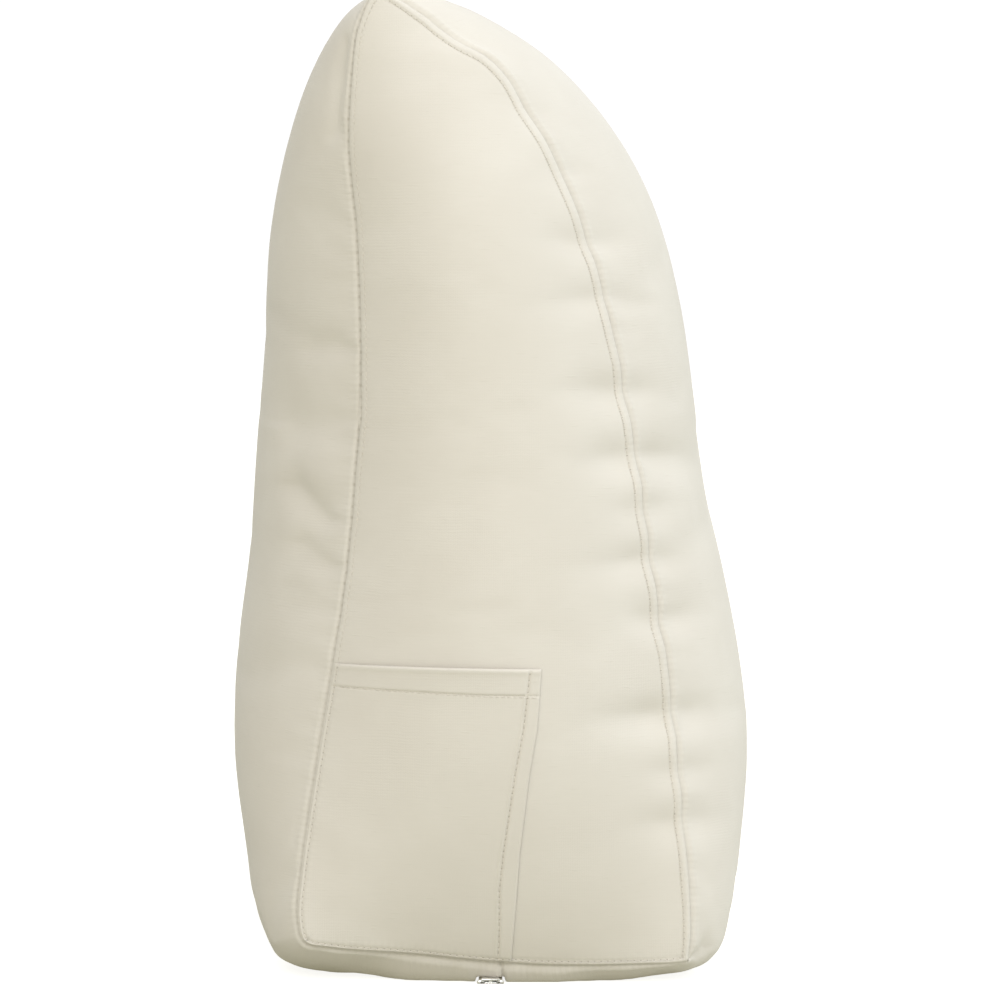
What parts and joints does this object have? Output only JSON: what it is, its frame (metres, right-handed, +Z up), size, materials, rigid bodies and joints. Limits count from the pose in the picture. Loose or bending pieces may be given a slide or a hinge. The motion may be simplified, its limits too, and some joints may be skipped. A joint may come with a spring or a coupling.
{
  "type": "back cushion",
  "caption": "Free-standing wedge-shaped back cushion with bulging faces, seamed end panels, a flat patch pocket on one end and a zip under its base.",
  "frame": {"origin": "under the middle of the box around the whole cushion, on the surface that it stands on", "axes": "+X towards the side that is leaned on, -X towards the upright back, +Y away from the end with the pocket, +Z up"},
  "size_m": [0.275, 0.6048, 0.506],
  "materials": {
    "cover_cloth": "matte cream plain weave with fine slubs",
    "zip_tape": "cream woven tape with a nylon coil",
    "zip_metal": "polished nickel"
  },
  "bodies": {
    "root": {"cushion": "cover_cloth", "side_pocket": "cover_cloth", "zip_chain": "zip_tape", "zip_slider": "zip_metal"}
  },
  "joints": []
}
